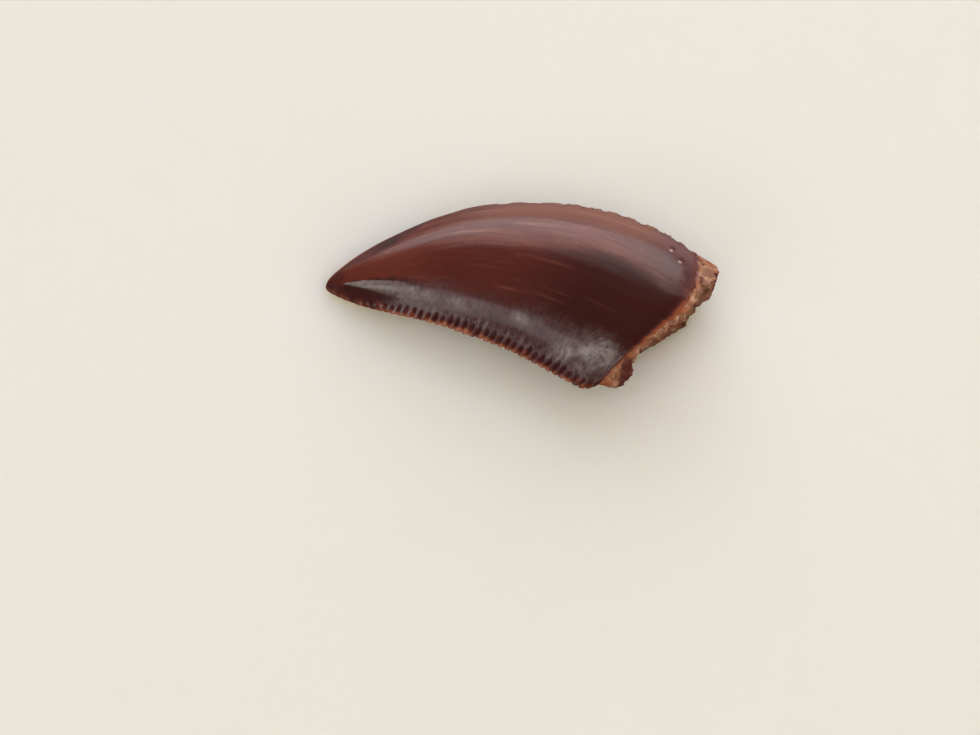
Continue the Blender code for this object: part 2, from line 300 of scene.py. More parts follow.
# The crown broke off at its base. The enamel ends in a ragged line that bows towards the root,
# and bare, crumbled dentine sticks out of it at both edges, with a craggy break between.
OUTER_BOW, OUTER_BOW_SKEW = 1.46, 1.40
INNER_BOW, INNER_BOW_SKEW = 1.15, 1.90
BOW_REACH = 0.62  # share of the tooth's length in which the bow fades
RAGGED, RAGGED_REACH = 0.10, 0.07  # height of the ragged line's teeth, and share that they bend
RAGGED_SIZE, RIM_SPAN = 0.5, (11, 4)  # length of those teeth, and the rim's way across and round
STUMP = [  # share of the width from the back edge, how far the dentine sticks out
    (0.00, 0.70), (0.02, 0.88), (0.05, 0.98), (0.09, 0.98), (0.13, 0.84), (0.16, 0.64),
    (0.20, 0.40), (0.25, 0.08), (0.31, -0.08), (0.42, 0.01), (0.50, 0.10), (0.56, 0.10),
    (0.60, 0.27), (0.66, 0.24), (0.73, 0.16), (0.78, 0.20), (0.83, 0.58), (0.90, 1.00),
    (0.94, 1.18), (0.97, 1.19), (1.00, 1.08),
]
BACK_LEAN, BACK_LEAN_REACH = 0.57, 0.3  # the stump at the back edge leans towards the front
ENAMEL = 0.06  # thickness of the enamel that is gone from the dentine
STUMP_BLUNTNESS = 0.30  # half the height of the stump's edge at its broken side
UNDERCUT, UNDERCUT_END = 0.03, 0.85  # how far the break lies behind the stump's edge
CRUMB, CRUMB_SIZE = 0.24, 0.9  # height and size of the large crags
GRAIN, GRAIN_SIZE = 0.10, 0.28  # and of the small ones
CRACK_DEPTH, CRACK_WIDTH = 0.14, 0.09
CRACK_SPACING, CRACKED_PATCH, CRACKED_START = 0.9, 1.5, (-0.05, 0.25)
DENT_SHADE, DENT_START = 0.4, (-0.1, -0.6)  # the dents between the small crags get painted shade
GRAIN_SHIFT, PATCH_SHIFT, CRACK_SHIFT = 7.3, 1.7, 3.1  # these keep the kinds of noise apart
GRAIN_DROP, CRACK_DROP = 0.6, 0.4  # shares of their depth that also go into the faces
PULP_HOLLOW, PULP_REACH = 0.40, 0.75  # depth, and how far out towards the stump's edge it fades
PULP_PLACE = 0.55  # share of the width where the hollow is deepest
STUMP_ROWS = np.concatenate([[0.02, 0.08], np.linspace(0.16, 1.0, 12)])
BREAK_ROWS = np.concatenate([np.linspace(0.97, 0.5, 26), np.linspace(0.47, 0.04, 16)])


def bow(share, facing):
    """How far the enamel's end bulges rootward, from facing 1, the outer face, to -1, the inner."""
    outer_bow = OUTER_BOW * np.sin(math.pi * share**OUTER_BOW_SKEW)
    inner_bow = INNER_BOW * np.sin(math.pi * share**INNER_BOW_SKEW)
    return (outer_bow + inner_bow) / 2 + facing * (outer_bow - inner_bow) / 2


rim_places = np.stack([RIM_SPAN[0] * across[0], RIM_SPAN[1] * under[0], 0 * across[0]], axis=-1)
ragged = RAGGED * lumps(rim_places, RAGGED_SIZE, 3)
bulge = bow(across, side) * (1 - step(0, BOW_REACH, along))
bulge = bulge + ragged[None, :] * step(RAGGED_REACH, 0, along)
plan = back + chord * across[..., None] + rootward * bulge[..., None]
lean = serrated * SLIT_LEAN * from_back * (1 - across) * np.exp(-((from_back / LEAN_REACH) ** 2))
plan = plan + direction * (notch - worn)[..., None] + rootward * lean[..., None]
middle = np.hypot(width * inner_share, POINT_CORE)
middle = middle + ARCH * np.sin(math.pi * along) ** 2 - POINT_DROP * along**4
enamel = np.concatenate([plan, (middle + side * height)[..., None]], axis=-1)

rim = enamel[0]
rim_across, rim_side = across[0], side[0]
rim_back = rim[0]
rim_chord = rim[COLUMNS // 2] - rim_back
rim_direction = rim_chord / np.linalg.norm(rim_chord)
rim_rootward = np.array([rim_direction[1], -rim_direction[0], 0.0])
rim_height = np.abs(rim[:, 2] - rim_back[2]) - ENAMEL


def stump_place(share, bulging, out, level):
    """Points of the stump at shares of the width, so far out of the rim's chord and so high."""
    lean = BACK_LEAN * (1 - step(0, BACK_LEAN_REACH, share)) * out
    place = rim_back + rim_chord * share[:, None] + rim_rootward * (bulging + out)[:, None]
    return place + rim_direction * lean[:, None] + np.array([0, 0, 1]) * level[:, None]


def crumbled(points, share, facing):
    """Dentine broken into crags: its points, and how much painted shade each gets in the cracks and
    the dents between crags.
    """
    large, small = lumps(points, CRUMB_SIZE, 3), lumps(points + GRAIN_SHIFT, GRAIN_SIZE, 3)
    cracked = step(*CRACKED_START, lumps(points + PATCH_SHIFT, CRACKED_PATCH, 2))
    crack = step(CRACK_WIDTH, 0, np.abs(lumps(points + CRACK_SHIFT, CRACK_SPACING, 2))) * cracked
    out = CRUMB * np.abs(large) + GRAIN * small - CRACK_DEPTH * crack
    moved = points + rim_rootward * (share * out)[:, None]
    inwards = GRAIN_DROP * GRAIN * np.abs(small) + CRACK_DROP * CRACK_DEPTH * crack
    moved[:, 2] -= facing * share * inwards
    dark = np.clip(crack + DENT_SHADE * step(*DENT_START, small), 0, 1)
    return moved, dark * min(1, 3 * share)


stump_rounds, crevice_shades = [], []
sticks_out = np.interp(rim_across, *np.transpose(STUMP))
bulging = bow(rim_across, rim_side) + ragged
for share in STUMP_ROWS:
    edge_height = rim_side * np.hypot(rim_height, STUMP_BLUNTNESS * share)
    points = stump_place(rim_across, bulging, share * sticks_out, edge_height)
    points, crevice = crumbled(points, share, rim_side)
    stump_rounds.append(points)
    crevice_shades.append(crevice)
for share in BREAK_ROWS:
    here = PULP_PLACE + share * (rim_across - PULP_PLACE)
    out = np.interp(here, *np.transpose(STUMP)) - PULP_HOLLOW * step(PULP_REACH, 0, share)
    out = out - UNDERCUT * step(1, UNDERCUT_END, share)
    bulging = bow(here, share * rim_side) + share * ragged
    points = stump_place(here, bulging, out, share * edge_height)
    points, crevice = crumbled(points, 1.0, 0 * rim_side)
    stump_rounds.append(points)
    crevice_shades.append(crevice)
rounds = np.concatenate([np.array(stump_rounds[::-1]), enamel])
break_middle = stump_rounds[-1].mean(axis=0)
point_end = np.array([*FRONT_EDGE[-1], enamel[-1, :, 2].mean()])


# The whole mesh is one closed sphere whose poles are the middle of the break and the point of the
# tooth. It lies where the solid lies, and carries what the colours follow as attributes.
FRONT_ZONE = [  # border of the pinkish front zone, which is partly painted reflection: (share of the length, share of the width)
    (0.0, 0.72), (0.044, 0.68), (0.083, 0.66), (0.118, 0.675), (0.194, 0.68), (0.267, 0.665),
    (0.337, 0.632), (0.405, 0.605), (0.50, 0.575), (0.605, 0.575), (0.693, 0.618),
    (0.812, 0.656), (0.936, 0.69),
]
BACK_ZONE = [  # border of the back zone, greyish with bloom and painted sheen
    (0.0, 0.22), (0.064, 0.26), (0.112, 0.275), (0.148, 0.26), (0.238, 0.24), (0.357, 0.225),
    (0.473, 0.21), (0.60, 0.225), (0.665, 0.253), (0.731, 0.289), (0.766, 0.307),
    (0.814, 0.325), (0.858, 0.344), (0.916, 0.344), (0.935, 0.325),
]
WEDGE = [  # lower border of the pale wedge of painted reflection under that line, near the point
    (0.66, 0.09), (0.72, 0.12), (0.79, 0.16), (0.826, 0.19), (0.86, 0.215), (0.896, 0.25),
    (0.928, 0.30), (0.94, 0.325),
]
WEDGE_START, WEDGE_TIP_BLUR = (0.60, 0.78), 0.015  # shares of the length
WEDGE_TOP_BLUR, WEDGE_FOOT = 0.012, (-0.01, 0.045)  # shares of the width
BLOOM_AND_SHEEN_PATCHES = [  # where the grey bloom and its painted sheen are thick: place, half its size (shares), strength
    (0.085, 0.180, 0.065, 0.090, 0.80), (0.102, 0.235, 0.026, 0.035, 1.00),
    (0.126, 0.160, 0.024, 0.036, 1.00), (0.066, 0.225, 0.026, 0.050, 1.00),
    (0.180, 0.120, 0.035, 0.040, 0.85), (0.340, 0.178, 0.035, 0.030, 0.60),
    (0.090, 0.105, 0.050, 0.035, 0.60),
    (0.296, 0.200, 0.014, 0.016, 0.75), (0.345, 0.172, 0.016, 0.018, 0.80),
    (0.530, 0.165, 0.055, 0.042, 0.42), (0.545, 0.180, 0.018, 0.020, 0.75),
    (0.660, 0.190, 0.070, 0.060, 0.50), (0.700, 0.225, 0.030, 0.030, 0.65),
]
STREAKS = [  # pale growth streaks, given in the same way
    (0.014, 0.690, 0.014, 0.030, 0.5), (0.100, 0.690, 0.040, 0.010, 0.3),
    (0.415, 0.770, 0.048, 0.012, 1.0), (0.560, 0.693, 0.050, 0.012, 0.7),
    (0.350, 0.729, 0.060, 0.010, 0.4), (0.540, 0.897, 0.040, 0.009, 0.9),
    (0.340, 0.530, 0.040, 0.006, 0.9), (0.412, 0.312, 0.034, 0.008, 0.8),
    (0.310, 0.325, 0.050, 0.006, 0.5), (0.545, 0.520, 0.060, 0.008, 0.3),
    (0.500, 0.425, 0.060, 0.007, 0.3), (0.180, 0.400, 0.050, 0.006, 0.25),
]
RIDGE_PLACE, RIDGE_HALF_WIDTH = 0.925, 0.06  # share of the width, and mm
RIDGE_START, RIDGE_END = (0.13, 0.18), (0.37, 0.31)  # shares of the length
HIGHLIGHT_PLACE, HIGHLIGHT_REACH = 0.72, 0.22  # where painted highlights lie on the ribs between the slits, in mm
HIGHLIGHTS_END, HIGHLIGHTS_STRENGTH = (0.72, 0.58), 0.6
SLIT_SHADE_END = (0.92, 0.55)  # shares of the length where the slits' painted shade fades

for points in (rounds, break_middle, point_end):
    points[..., 2] = np.maximum(points[..., 2] - RESTING_FLAT, 0)
everything = np.vstack([rounds.reshape(-1, 3), break_middle, point_end])
cad_low, cad_high = (np.array(corner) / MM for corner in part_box("tooth"))
move = (cad_low + cad_high - everything.min(axis=0) - everything.max(axis=0)) / 2
move[2] = 0

front_zone = (across - np.interp(along, *np.transpose(FRONT_ZONE))) * width
under_border = np.interp(along, *np.transpose(BACK_ZONE)) - across
above_wedge = across - np.interp(along, *np.transpose(WEDGE))
wedge = step(0, WEDGE_TOP_BLUR, under_border) * step(*WEDGE_FOOT, above_wedge) * outer
wedge_tip = WEDGE[-1][0]
wedge = wedge * step(wedge_tip, wedge_tip - WEDGE_TIP_BLUR, along) * step(*WEDGE_START, along)


def spots(places):
    """Soft spots at these places of the outer face."""
    cover = np.zeros_like(along)
    for length_share, across_share, half_length, half_across, strength in places:
        off_along = (along - length_share) / half_length
        off_across = (across - across_share) / half_across
        cover = np.maximum(cover, strength * np.exp(-(off_along**2 + off_across**2)))
    return cover


# Painted highlights lie on the ribs between the slits, and are stored with the bloom.
rib_highlights = serrated * rounded_rib**3 * slit_strength[denticle] ** 4
rib_highlights = rib_highlights * np.exp(-(((up_the_face - HIGHLIGHT_PLACE) / HIGHLIGHT_REACH) ** 2))
rib_highlights = rib_highlights * step(*HIGHLIGHTS_END, along)
bloom_and_sheen_spots = np.maximum(spots(BLOOM_AND_SHEEN_PATCHES) * outer, HIGHLIGHTS_STRENGTH * rib_highlights)
ridge = np.exp(-((((across - RIDGE_PLACE) * width) / RIDGE_HALF_WIDTH) ** 2)) * outer
ridge = ridge * step(*RIDGE_START, along) * step(*RIDGE_END, along)
none = np.zeros_like(along)
channels = {
    "growth": growth,
    "edges": np.stack([from_back, from_front, none], axis=-1),
    # dentine, painted shade in the slits, painted shade in the cracks and dents
    "marks": np.stack([none, slit_shade_mask * step(*SLIT_SHADE_END, along), none], axis=-1),
    "zones": np.stack([front_zone, under_border * width, wedge], axis=-1),
    "traces": np.stack([facet_wear_and_shade * outer, ridge, chips], axis=-1),
    # bloom with painted sheen and highlights, streak, and how far past the enamel
    "patches": np.stack([bloom_and_sheen_spots, spots(STREAKS) * outer, none], axis=-1),
}
on_stump = {}
for name, values in channels.items():
    on_stump[name] = np.repeat(values[:1], len(stump_rounds), axis=0)
on_stump["marks"][..., 0] = 1
on_stump["marks"][..., 2] = crevice_shades[::-1]
past_rim = np.concatenate([STUMP_ROWS, 2 - BREAK_ROWS])  # 1 is at the stump's edge
on_stump["patches"][..., 2] = past_rim[::-1, None]

shell = bmesh.new()
bmesh.ops.create_uvsphere(shell, u_segments=COLUMNS, v_segments=len(rounds) + 1, radius=1.0)
tooth_mesh = bpy.data.meshes.new("tooth_crown")
shell.to_mesh(tooth_mesh)
shell.free()
ball = np.empty(3 * len(tooth_mesh.vertices))
tooth_mesh.vertices.foreach_get("co", ball)
ball = ball.reshape(-1, 3)
from_pole = np.arccos(np.clip(ball[:, 2], -1, 1)) / math.pi
number = np.round(from_pole * (len(rounds) + 1)).astype(int)
turned_back = -np.arctan2(ball[:, 1], ball[:, 0]) / (2 * math.pi)
column = np.round(turned_back * COLUMNS).astype(int) % COLUMNS


def on_mesh(values, at_break, at_point):
    """The value of each vertex, from those of the rounds and of the two ends."""
    ends = [np.broadcast_to(end, (1, COLUMNS, 3)) for end in (at_break, at_point)]
    return np.concatenate([ends[0], values, ends[1]])[number, column].astype(np.float32).ravel()


places = on_mesh(rounds + move, break_middle + move, point_end + move) * MM
tooth_mesh.vertices.foreach_set("co", places)
for name, values in channels.items():
    values = np.concatenate([on_stump[name], values])
    layer = tooth_mesh.attributes.new(name, "FLOAT_VECTOR", "POINT")
    at_ends = values[0].mean(axis=0), values[-1].mean(axis=0)
    layer.data.foreach_set("vector", on_mesh(values, *at_ends))
tooth_mesh.update()
tooth_mesh.shade_smooth()
tooth = bpy.data.objects.new("tooth_crown", tooth_mesh)
bpy.context.scene.collection.objects.link(tooth)


# The enamel is glossy mahogany brown with growth streaks, and the ground has left a grey bloom on
# its back half, which also carries painted sheen. Its colours hold painted reflections, highlights,
# shade and glow too. The dentine is rough orange tan, with painted shade in its crevices. One
# material covers both, and the mesh's attributes say where each of its tones lies.
material = bpy.data.materials.new("fossil_enamel_and_dentine")
material.use_nodes = True
tree = material.node_tree
surface = tree.nodes["Principled BSDF"]


def add_node(kind, inputs=None, **settings):
    """A node of this kind. Each of its inputs is given a value or is linked to a socket."""
    node = tree.nodes.new(kind)
    for name, value in settings.items():
        setattr(node, name, value)
    for name, value in (inputs or {}).items():
        if isinstance(value, bpy.types.NodeSocket):
            tree.links.new(value, node.inputs[name])
        else:
            node.inputs[name].default_value = value
    return node


def number_of(operation, *values):
    """The result of a sum, a product or the like of numbers."""
    return add_node("ShaderNodeMath", dict(enumerate(values)), operation=operation).outputs[0]


def times(*values):
    """The product of numbers."""
    product = values[0]
    for value in values[1:]:
        product = number_of("MULTIPLY", product, value)
    return product


def scaled(value, factor, added):
    """A number times a factor, with another number added."""
    return number_of("MULTIPLY_ADD", value, factor, added)


def wavered(value, waver, amount):
    """A number that noise moves up or down, by at most half of this amount."""
    return scaled(number_of("SUBTRACT", waver, 0.5), amount, value)


def rise(value, low, high):
    """0 at low, 1 at high, and smooth between them."""
    inputs = {"Value": value, "From Min": low, "From Max": high}
    node = add_node("ShaderNodeMapRange", inputs, interpolation_type="SMOOTHSTEP")
    return node.outputs["Result"]


def blend(share, first, second):
    """A colour between two others."""
    node = add_node("ShaderNodeMix", {0: share}, data_type="RGBA")
    for socket, tone in ((node.inputs[6], first), (node.inputs[7], second)):
        if isinstance(tone, tuple):
            socket.default_value = (*tone, 1.0)
        else:
            tree.links.new(tone, socket)
    return node.outputs[2]


def speckle(place, density, detail=3.0, roughness=0.55):
    """Soft noise from 0 to 1, with so many lumps to a unit of length in each direction."""
    mapped = add_node("ShaderNodeMapping", {"Vector": place, "Scale": density})
    inputs = {"Vector": mapped.outputs[0], "Scale": 1.0, "Detail": detail, "Roughness": roughness}
    return add_node("ShaderNodeTexNoise", inputs).outputs["Fac"]


def parts_of(name):
    """The three numbers of an attribute of the mesh."""
    found = add_node("ShaderNodeAttribute", attribute_name=name).outputs["Vector"]
    return add_node("ShaderNodeSeparateXYZ", {"Vector": found}).outputs[:]


body = add_node("ShaderNodeTexCoord").outputs["Object"]
height_up = add_node("ShaderNodeSeparateXYZ", {"Vector": body}).outputs["Z"]
growth_place = add_node("ShaderNodeAttribute", attribute_name="growth").outputs["Vector"]
from_root, from_back_edge = parts_of("growth")[:2]  # in twentieths and tenths of the crown
near_back, near_front = parts_of("edges")[:2]
is_dentine, in_slit_shade, in_crevice_shade = parts_of("marks")
front_border, back_border, in_reflection_wedge = parts_of("zones")
on_facet_wear_and_shade, on_ridge, on_chip = parts_of("traces")
in_bloom_and_sheen, on_streak, past_enamel = parts_of("patches")

# The tones share this noise. Streaks and flecks follow the growth of the enamel, and the other
# kinds are even, with so many lumps to a metre.
STREAKS_DENSITY, FINE_DENSITY, FLECKS_DENSITY = (0.26, 2.0, 1.2), (0.5, 9.0, 3.0), (3.6, 1.7, 1.0)
CLOUDS_DENSITY, HAZE_DENSITY, BLOBS_DENSITY, GRAIN_DENSITY = 900.0, 1300.0, 1700.0, 5200.0
streaks = speckle(growth_place, STREAKS_DENSITY, 4.0, 0.55)
fine_streaks = speckle(growth_place, FINE_DENSITY, 3.0, 0.6)
flecks = speckle(growth_place, FLECKS_DENSITY, 4.0, 0.7)
clouds = speckle(body, 3 * (CLOUDS_DENSITY,))
haze = speckle(body, 3 * (HAZE_DENSITY,))
blobs = speckle(body, 3 * (BLOBS_DENSITY,), 2.0)
grain = speckle(body, 3 * (GRAIN_DENSITY,), 2.0)
wander = scaled(streaks, 1.0, -0.5)

# The middle of the crown is plain mahogany, darker towards the root, with a few pale streaks.
MIDDLE_RED, MIDDLE_BROWN = (0.130, 0.027, 0.018), (0.088, 0.017, 0.012)
MIDDLE_DARK, STREAK_PALE = (0.041, 0.008, 0.0066), (0.17, 0.048, 0.034)
DARK_START, RED_START = (11.0, 5.5), (11.0, 16.0)
near_root = rise(scaled(clouds, 3.0, from_root), *DARK_START)
colour = blend(rise(from_root, *RED_START), MIDDLE_BROWN, MIDDLE_RED)
colour = blend(near_root, colour, MIDDLE_DARK)
faint_streaks = times(rise(streaks, 0.56, 0.74), scaled(near_root, -0.3, 0.5))
pale_streaks = number_of("MAXIMUM", faint_streaks, times(on_streak, 0.9))
colour = blend(pale_streaks, colour, STREAK_PALE)

# The front zone is pinkish, partly as a painted reflection of the lights behind the tooth. It is
# dusky near the root, has a painted reflection along its edge, and is finely mottled.
FRONT_PLUM, FRONT_PINK = (0.118, 0.036, 0.031), (0.170, 0.056, 0.043)
FRONT_DUSK, FRONT_STREAK = (0.075, 0.026, 0.027), (0.38, 0.19, 0.15)
FRONT_REFLECTION, ROOT_REFLECTION = (0.245, 0.110, 0.086), (0.175, 0.088, 0.088)
DUSK_START, REFLECTION_START, ROOT_REFLECTION_START = (4.5, 1.0), (14.0, 9.5), (3.5, 1.0)
REFLECTION_EDGE = (1.9, 0.5)  # from the front edge
front_softness = scaled(from_root, -0.024, 0.60)
front_place = number_of("ADD", front_border, wander)
in_front = rise(front_place, times(front_softness, -1.0), front_softness)
front_colour = blend(rise(streaks, 0.35, 0.65), FRONT_PLUM, FRONT_PINK)
dusky = times(rise(from_root, *DUSK_START), 0.85)
front_colour = blend(dusky, front_colour, FRONT_DUSK)
edge_reflection = times(rise(near_front, *REFLECTION_EDGE), rise(from_root, *REFLECTION_START))
edge_reflection_colour = blend(rise(from_root, *ROOT_REFLECTION_START), FRONT_REFLECTION, ROOT_REFLECTION)
front_colour = blend(edge_reflection, front_colour, edge_reflection_colour)
mottled = times(rise(haze, 0.40, 0.66), rise(grain, 0.30, 0.70), 0.22)
front_colour = blend(mottled, front_colour, FRONT_REFLECTION)
pale_growth = times(on_streak, rise(fine_streaks, 0.3, 0.6), 0.65)
front_colour = blend(pale_growth, front_colour, FRONT_STREAK)
colour = blend(in_front, colour, front_colour)

# The back zone is plum under a grey bloom that is partly painted sheen, thick in patches. On the
# wedge near the point the grey is a painted reflection.
BACK_PLUM, BACK_MAUVE, BLOOM_AND_SHEEN = (0.040, 0.008, 0.009), (0.078, 0.027, 0.031), (0.31, 0.275, 0.28)
SOFT_BORDER, PLUM_END, WEDGE_BRIGHTENS = (15.5, 11.0), (14.0, 16.5), (14.5, 17.5)
back_softness = scaled(rise(from_root, *SOFT_BORDER), 0.45, 0.16)
back_place = scaled(wander, 0.6, wavered(back_border, clouds, 1.4))
in_back = rise(back_place, times(back_softness, -1.0), back_softness)
back_colour = blend(rise(flecks, 0.36, 0.62), BACK_PLUM, BACK_MAUVE)
back_colour = blend(rise(from_root, *PLUM_END), back_colour, MIDDLE_DARK)
colour = blend(in_back, colour, back_colour)
bloom_and_sheen = scaled(rise(flecks, 0.40, 0.68), 0.50, 0.15)
bloom_and_sheen = scaled(rise(haze, 0.36, 0.62), 0.55, bloom_and_sheen)
bloom_and_sheen = scaled(rise(grain, 0.42, 0.62), 0.20, bloom_and_sheen)
bloom_and_sheen = times(bloom_and_sheen, scaled(in_bloom_and_sheen, 0.88, 0.03), in_back)
# The wedge is a painted reflection, brighter towards the point.
wedge_reflection = scaled(rise(from_root, *WEDGE_BRIGHTENS), 0.30, 0.20)
wedge_reflection = scaled(rise(flecks, 0.35, 0.6), 0.22, wedge_reflection)
bloom_and_sheen = number_of("MAXIMUM", bloom_and_sheen, times(in_reflection_wedge, wedge_reflection))
colour = blend(bloom_and_sheen, colour, BLOOM_AND_SHEEN)

# The rubbed facets carry painted shade, the worn ridge near the front is pale, and the point is
# deep red.
FACET_SHADE, RIDGE_PALE = (0.038, 0.018, 0.022), (0.36, 0.155, 0.11)
POINT_DARK, POINT_START = (0.075, 0.012, 0.008), (18.2, 19.0)
facet_shade_cover = times(on_facet_wear_and_shade, scaled(rise(clouds, 0.40, 0.62), 0.35, 0.5))
colour = blend(facet_shade_cover, colour, FACET_SHADE)
ridge_cover = times(on_ridge, rise(streaks, 0.3, 0.6), 0.6)
colour = blend(ridge_cover, colour, RIDGE_PALE)
colour = blend(rise(from_root, *POINT_START), colour, POINT_DARK)

# Light comes orange through the thin edges as a painted glow, which chips break in front. At the
# back, painted shade darkens a band inside the edge and the slits.
RIM_ORANGE, TIP_ORANGE = (0.36, 0.125, 0.065), (0.17, 0.042, 0.022)
CHIP_TAN, CHIP_DARK = (0.31, 0.13, 0.070), (0.105, 0.032, 0.021)
EDGE_SHADE, SLIT_SHADE = (0.060, 0.013, 0.013), (0.075, 0.015, 0.014)
POINT_EDGE_START, RIM_FADE = (16.0, 18.0), (17.5, 13.5)
POINT_EDGE, FRONT_LINE = (0.24, 0.05), (0.12, 0.02)  # from the front edge
SHADE_BAND, RIM_BAND, RIM_LINE = (0.62, 0.30), (0.30, 0.12), (0.15, -0.02)  # from the back edge
SLIT_START = (0.06, 0.22)
point_edge = times(rise(near_front, *POINT_EDGE), rise(from_root, *POINT_EDGE_START))
colour = blend(point_edge, colour, RIM_ORANGE)
front_line = times(rise(near_front, *FRONT_LINE), rise(blobs, 0.36, 0.60), 0.85)
front_line = times(front_line, rise(clouds, 0.32, 0.56))
colour = blend(front_line, colour, RIM_ORANGE)
chip_colour = blend(rise(grain, 0.42, 0.60), CHIP_DARK, CHIP_TAN)
colour = blend(rise(on_chip, 0.15, 0.6), colour, chip_colour)
# A band of painted shade lies just inside the serrated edge, where the face turns steeply down to
# it.
edge_shade_band = times(rise(near_back, *SHADE_BAND), 0.65)
colour = blend(edge_shade_band, colour, EDGE_SHADE)
rim_place = wavered(near_back, blobs, 0.9)
rim_glow = scaled(rise(from_root, *RIM_FADE), 0.6, 0.3)
rim_band = times(rise(rim_place, *RIM_BAND), rim_glow)
colour = blend(rim_band, colour, TIP_ORANGE)
rim_line = times(rise(rim_place, *RIM_LINE), rim_glow, 0.95)
colour = blend(rim_line, colour, RIM_ORANGE)
# Painted shade darkens the narrow slits.
slit_shade_cover = times(rise(in_slit_shade, 0.30, 0.80), rise(near_back, *SLIT_START))
colour = blend(slit_shade_cover, colour, SLIT_SHADE)

# The broken end of the enamel has a painted orange glow of light through it in the middle, with a
# thin painted pink highlight in front.
GLOW, END_RED, END_HIGHLIGHT = (0.31, 0.082, 0.036), (0.14, 0.036, 0.028), (0.42, 0.25, 0.24)
RED_END, GLOW_END, HIGHLIGHT_LINE = (0.55, 0.0), (0.34, -0.05), (0.14, 0.02)
MIDDLE_START, MIDDLE_END, NOSE_START = (1.2, 2.6), (7.4, 6.2), (6.6, 7.6)  # from the back edge
to_end = scaled(wander, 0.5, from_root)
in_middle = times(rise(from_back_edge, *MIDDLE_START), rise(from_back_edge, *MIDDLE_END))
reddened = times(rise(to_end, *RED_END), 0.8)
colour = blend(reddened, colour, END_RED)
glowing = times(rise(to_end, *GLOW_END), in_middle)
colour = blend(glowing, colour, GLOW)
end_highlight = times(rise(from_root, *HIGHLIGHT_LINE), rise(from_back_edge, *NOSE_START))
end_highlight = times(end_highlight, rise(blobs, 0.4, 0.6), 0.7)
colour = blend(end_highlight, colour, END_HIGHLIGHT)

# Two small pits near the root are pale inside and have a shadow on their far side.
PIT_PALE = (0.48, 0.35, 0.32)
PITS = [(8.16, 2.09), (8.60, 1.31)]
PIT_RADIUS = 0.12
SHADOW_ASIDE = (0.9, 1.5)  # in radii of the pit
flat_body = add_node("ShaderNodeVectorMath", {0: body, 1: (1.0, 1.0, 0.0)}, operation="MULTIPLY")


def distance_to(x, y, wobble):
    """How far the surface is from a place seen from above, with an uneven outline."""
    inputs = {0: flat_body.outputs[0], 1: (x * MM, y * MM, 0.0)}
    away = add_node("ShaderNodeVectorMath", inputs, operation="DISTANCE")
    return wavered(away.outputs["Value"], grain, wobble * MM)


def spot(x, y, wobble, edge, heart):
    """1 within one distance of a place, 0 beyond another, and smooth between them."""
    return rise(distance_to(x, y, wobble), edge * MM, heart * MM)


for x, y in PITS:
    shadow_x = x + SHADOW_ASIDE[0] * PIT_RADIUS
    shadow_y = y + SHADOW_ASIDE[1] * PIT_RADIUS
    shadow = spot(shadow_x, shadow_y, 2.0 * PIT_RADIUS, 1.9 * PIT_RADIUS, 0.8 * PIT_RADIUS)
    colour = blend(times(shadow, 0.7), colour, POINT_DARK)
    pit = spot(x, y, 2.2 * PIT_RADIUS, 1.3 * PIT_RADIUS, 0.2 * PIT_RADIUS)
    colour = blend(times(pit, 0.9), colour, PIT_PALE)

# The dentine is mottled orange and tan, with painted shade low on the break, and mineral stains.
# The dark end of the lump is stained and also painted with shade, and painted shade fills the two
# slots at the nose.
DENTINE_ORANGE, DENTINE_TAN = (0.33, 0.100, 0.044), (0.36, 0.150, 0.078)
DENTINE_PALE, DENTINE_BROWN = (0.46, 0.260, 0.165), (0.12, 0.034, 0.018)
CREVICE_SHADE, STAIN_BROWN = (0.035, 0.008, 0.006), (0.24, 0.098, 0.058)
STAIN_RED, LUMP_STAIN_AND_SHADE = (0.11, 0.022, 0.013), (0.085, 0.012, 0.007)
STAINS_AND_SHADES = [  # x, y, radius and colour
    (10.22, 1.00, 0.40, STAIN_BROWN), (10.00, 0.10, 0.30, STAIN_BROWN),
    (10.61, 1.00, 0.12, CREVICE_SHADE), (10.66, 0.70, 0.11, CREVICE_SHADE),
    (9.80, 1.90, 0.14, STAIN_RED), (9.92, 1.60, 0.14, STAIN_RED),
    (9.78, 0.52, 0.14, STAIN_RED), (9.74, 0.28, 0.14, STAIN_RED),
    (5.72, -4.32, 0.36, LUMP_STAIN_AND_SHADE), (5.62, -4.64, 0.38, LUMP_STAIN_AND_SHADE),
    (5.56, -5.00, 0.38, LUMP_STAIN_AND_SHADE), (5.50, -5.30, 0.34, LUMP_STAIN_AND_SHADE),
]
SHADE_HEIGHT, SHADE_WAVER = (2.1, 1.0), 1.4
dentine = blend(rise(clouds, 0.38, 0.60), DENTINE_ORANGE, DENTINE_TAN)
dentine = blend(rise(blobs, 0.46, 0.62), dentine, DENTINE_PALE)
dentine = blend(times(rise(grain, 0.50, 0.66), 0.45), dentine, DENTINE_BROWN)
dentine = blend(times(rise(past_enamel, 0.25, 0.0), 0.6), dentine, DENTINE_ORANGE)
# Painted shade darkens the break low down, near the table.
low_shade = rise(scaled(blobs, SHADE_WAVER * MM, height_up), SHADE_HEIGHT[0] * MM, SHADE_HEIGHT[1] * MM)
dentine = blend(times(low_shade, 0.75), dentine, DENTINE_BROWN)
for x, y, radius, spot_colour in STAINS_AND_SHADES:
    cover = spot(x, y, 1.2 * radius, 1.2 * radius, 0.6 * radius)
    dentine = blend(times(cover, 0.85), dentine, spot_colour)
# Painted shade darkens the cracks and the dents between crags.
dentine = blend(in_crevice_shade, dentine, CREVICE_SHADE)
colour = blend(is_dentine, colour, dentine)
tree.links.new(colour, surface.inputs["Base Color"])

